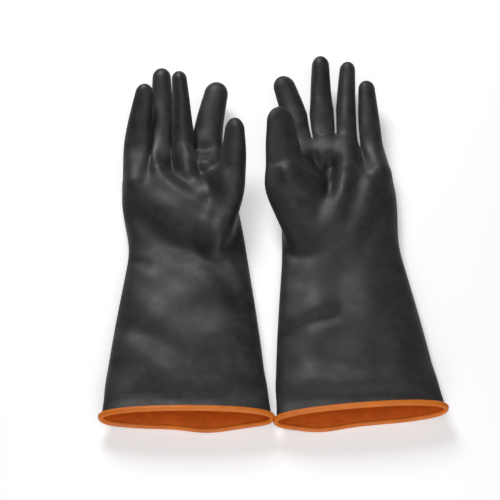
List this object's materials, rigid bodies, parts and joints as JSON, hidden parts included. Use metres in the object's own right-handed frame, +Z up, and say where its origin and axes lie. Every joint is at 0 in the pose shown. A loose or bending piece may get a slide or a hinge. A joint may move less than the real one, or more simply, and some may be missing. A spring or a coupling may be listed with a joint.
{
  "type": "electrical insulating gloves",
  "caption": "Pair of long black rubber insulating gloves with orange inner ply and orange rolled cuffs, lying palm up with open gauntlets and softly curled fingers.",
  "frame": {"origin": "middle of the pair's footprint, on the table they lie on", "axes": "+Z up off the table on the palm side, +Y from the cuffs to the fingertips, +X from the right-hand glove to the left-hand glove"},
  "size_m": [0.3429, 0.4092, 0.0672],
  "materials": {
    "black_rubber": "satin dipped rubber",
    "orange_rubber": "satin dipped rubber"
  },
  "bodies": {
    "right_gauntlet": {"right_gauntlet_shell": "black_rubber", "right_gauntlet_liner": "orange_rubber", "right_cuff_bead": "orange_rubber"},
    "right_hand": {"right_hand_shell": "black_rubber", "right_hand_liner": "orange_rubber"},
    "right_thumb_base": {"right_thumb_base_shell": "black_rubber", "right_thumb_base_liner": "orange_rubber"},
    "right_thumb_tip": {"right_thumb_tip_shell": "black_rubber", "right_thumb_tip_liner": "orange_rubber"},
    "right_index_base": {"right_index_base_shell": "black_rubber", "right_index_base_liner": "orange_rubber"},
    "right_index_tip": {"right_index_tip_shell": "black_rubber", "right_index_tip_liner": "orange_rubber"},
    "right_middle_base": {"right_middle_base_shell": "black_rubber", "right_middle_base_liner": "orange_rubber"},
    "right_middle_tip": {"right_middle_tip_shell": "black_rubber", "right_middle_tip_liner": "orange_rubber"},
    "right_ring_base": {"right_ring_base_shell": "black_rubber", "right_ring_base_liner": "orange_rubber"},
    "right_ring_tip": {"right_ring_tip_shell": "black_rubber", "right_ring_tip_liner": "orange_rubber"},
    "right_little_base": {"right_little_base_shell": "black_rubber", "right_little_base_liner": "orange_rubber"},
    "right_little_tip": {"right_little_tip_shell": "black_rubber", "right_little_tip_liner": "orange_rubber"},
    "left_gauntlet": {"left_gauntlet_shell": "black_rubber", "left_gauntlet_liner": "orange_rubber", "left_cuff_bead": "orange_rubber"},
    "left_hand": {"left_hand_shell": "black_rubber", "left_hand_liner": "orange_rubber"},
    "left_thumb_base": {"left_thumb_base_shell": "black_rubber", "left_thumb_base_liner": "orange_rubber"},
    "left_thumb_tip": {"left_thumb_tip_shell": "black_rubber", "left_thumb_tip_liner": "orange_rubber"},
    "left_index_base": {"left_index_base_shell": "black_rubber", "left_index_base_liner": "orange_rubber"},
    "left_index_tip": {"left_index_tip_shell": "black_rubber", "left_index_tip_liner": "orange_rubber"},
    "left_middle_base": {"left_middle_base_shell": "black_rubber", "left_middle_base_liner": "orange_rubber"},
    "left_middle_tip": {"left_middle_tip_shell": "black_rubber", "left_middle_tip_liner": "orange_rubber"},
    "left_ring_base": {"left_ring_base_shell": "black_rubber", "left_ring_base_liner": "orange_rubber"},
    "left_ring_tip": {"left_ring_tip_shell": "black_rubber", "left_ring_tip_liner": "orange_rubber"},
    "left_little_base": {"left_little_base_shell": "black_rubber", "left_little_base_liner": "orange_rubber"},
    "left_little_tip": {"left_little_tip_shell": "black_rubber", "left_little_tip_liner": "orange_rubber"}
  },
  "joints": [
    {"name": "right_wrist_bend", "type": "hinge", "parent": "right_gauntlet", "child": "right_hand", "pos_m": [-0.08593, -0.01758, 0.028], "axis": [1, 0, 0], "range_deg": [-7, 50], "stiffness_Nm_per_rad": 0.6},
    {"name": "right_thumb_base_bend", "type": "hinge", "parent": "right_hand", "child": "right_thumb_base", "pos_m": [-0.05455, 0.04945, 0.03872], "axis": [0.4668, -0.3584, 0.8085], "range_deg": [-4, 30], "stiffness_Nm_per_rad": 0.12},
    {"name": "right_thumb_tip_bend", "type": "hinge", "parent": "right_thumb_base", "child": "right_thumb_tip", "pos_m": [-0.04936, 0.07788, 0.04847], "axis": [0.465, -0.3674, 0.8055], "range_deg": [-7, 25], "stiffness_Nm_per_rad": 0.08},
    {"name": "right_index_base_bend", "type": "hinge", "parent": "right_hand", "child": "right_index_base", "pos_m": [-0.06945, 0.10008, 0.02381], "axis": [0.9976, -0.0698, 0], "range_deg": [-7, 60], "stiffness_Nm_per_rad": 0.12},
    {"name": "right_index_tip_bend", "type": "hinge", "parent": "right_index_base", "child": "right_index_tip", "pos_m": [-0.06508, 0.13648, 0.02717], "axis": [0.9848, -0.1736, 0], "range_deg": [-7, 60], "stiffness_Nm_per_rad": 0.08},
    {"name": "right_middle_base_bend", "type": "hinge", "parent": "right_hand", "child": "right_middle_base", "pos_m": [-0.09286, 0.10124, 0.02949], "axis": [0.9998, 0.0175, 0], "range_deg": [-7, 60], "stiffness_Nm_per_rad": 0.12},
    {"name": "right_middle_tip_bend", "type": "hinge", "parent": "right_middle_base", "child": "right_middle_tip", "pos_m": [-0.09413, 0.13651, 0.04546], "axis": [0.9976, 0.0698, 0], "range_deg": [-7, 60], "stiffness_Nm_per_rad": 0.08},
    {"name": "right_ring_base_bend", "type": "hinge", "parent": "right_hand", "child": "right_ring_base", "pos_m": [-0.11593, 0.10988, 0.0247], "axis": [1, 0, 0], "range_deg": [-7, 15], "stiffness_Nm_per_rad": 0.12},
    {"name": "right_ring_tip_bend", "type": "hinge", "parent": "right_ring_base", "child": "right_ring_tip", "pos_m": [-0.11625, 0.14962, 0.03168], "axis": [0.9998, 0.0175, 0], "range_deg": [-7, 60], "stiffness_Nm_per_rad": 0.08},
    {"name": "right_little_base_bend", "type": "hinge", "parent": "right_hand", "child": "right_little_base", "pos_m": [-0.14208, 0.09459, 0.02822], "axis": [0.9986, -0.0523, 0], "range_deg": [-7, 60], "stiffness_Nm_per_rad": 0.12},
    {"name": "right_little_tip_bend", "type": "hinge", "parent": "right_little_base", "child": "right_little_tip", "pos_m": [-0.13923, 0.12494, 0.04044], "axis": [0.9877, -0.1564, 0], "range_deg": [-7, 60], "stiffness_Nm_per_rad": 0.08},
    {"name": "left_wrist_bend", "type": "hinge", "parent": "left_gauntlet", "child": "left_hand", "pos_m": [0.07211, -0.01513, 0.028], "axis": [0.9969, 0.0785, 0], "range_deg": [-7, 50], "stiffness_Nm_per_rad": 0.6},
    {"name": "left_thumb_base_bend", "type": "hinge", "parent": "left_hand", "child": "left_thumb_base", "pos_m": [0.02168, 0.056, 0.0428], "axis": [0.897, 0.2898, -0.3338], "range_deg": [-4, 30], "stiffness_Nm_per_rad": 0.12},
    {"name": "left_thumb_tip_bend", "type": "hinge", "parent": "left_thumb_base", "child": "left_thumb_tip", "pos_m": [0.01663, 0.08482, 0.05348], "axis": [0.9028, 0.2694, -0.3353], "range_deg": [-7, 45], "stiffness_Nm_per_rad": 0.08},
    {"name": "left_index_base_bend", "type": "hinge", "parent": "left_hand", "child": "left_index_base", "pos_m": [0.03377, 0.10957, 0.0238], "axis": [0.9833, 0.1822, 0], "range_deg": [-7, 60], "stiffness_Nm_per_rad": 0.12},
    {"name": "left_index_tip_bend", "type": "hinge", "parent": "left_index_base", "child": "left_index_tip", "pos_m": [0.02538, 0.14511, 0.02843], "axis": [0.9588, 0.284, 0], "range_deg": [-7, 60], "stiffness_Nm_per_rad": 0.08},
    {"name": "left_middle_base_bend", "type": "hinge", "parent": "left_hand", "child": "left_middle_base", "pos_m": [0.05663, 0.12417, 0.02583], "axis": [0.9969, 0.0785, 0], "range_deg": [-7, 60], "stiffness_Nm_per_rad": 0.12},
    {"name": "left_middle_tip_bend", "type": "hinge", "parent": "left_middle_base", "child": "left_middle_tip", "pos_m": [0.05447, 0.16288, 0.03442], "axis": [0.9997, 0.0262, 0], "range_deg": [-7, 60], "stiffness_Nm_per_rad": 0.08},
    {"name": "left_ring_base_bend", "type": "hinge", "parent": "left_hand", "child": "left_ring_base", "pos_m": [0.08052, 0.11831, 0.02863], "axis": [1, -0.0087, 0], "range_deg": [-7, 60], "stiffness_Nm_per_rad": 0.12},
    {"name": "left_ring_tip_bend", "type": "hinge", "parent": "left_ring_base", "child": "left_ring_tip", "pos_m": [0.08149, 0.15805, 0.03475], "axis": [0.999, -0.0436, 0], "range_deg": [-7, 60], "stiffness_Nm_per_rad": 0.08},
    {"name": "left_little_base_bend", "type": "hinge", "parent": "left_hand", "child": "left_little_base", "pos_m": [0.10607, 0.10651, 0.027], "axis": [1, 0.0087, 0], "range_deg": [-7, 60], "stiffness_Nm_per_rad": 0.12},
    {"name": "left_little_tip_bend", "type": "hinge", "parent": "left_little_base", "child": "left_little_tip", "pos_m": [0.10528, 0.13902, 0.03254], "axis": [0.999, 0.0436, 0], "range_deg": [-7, 60], "stiffness_Nm_per_rad": 0.08},
    {"name": "left_glove_apart", "type": "slide", "parent": "right_gauntlet", "child": "left_gauntlet", "axis": [1, 0, 0], "range_m": [0, 0.15]}
  ]
}
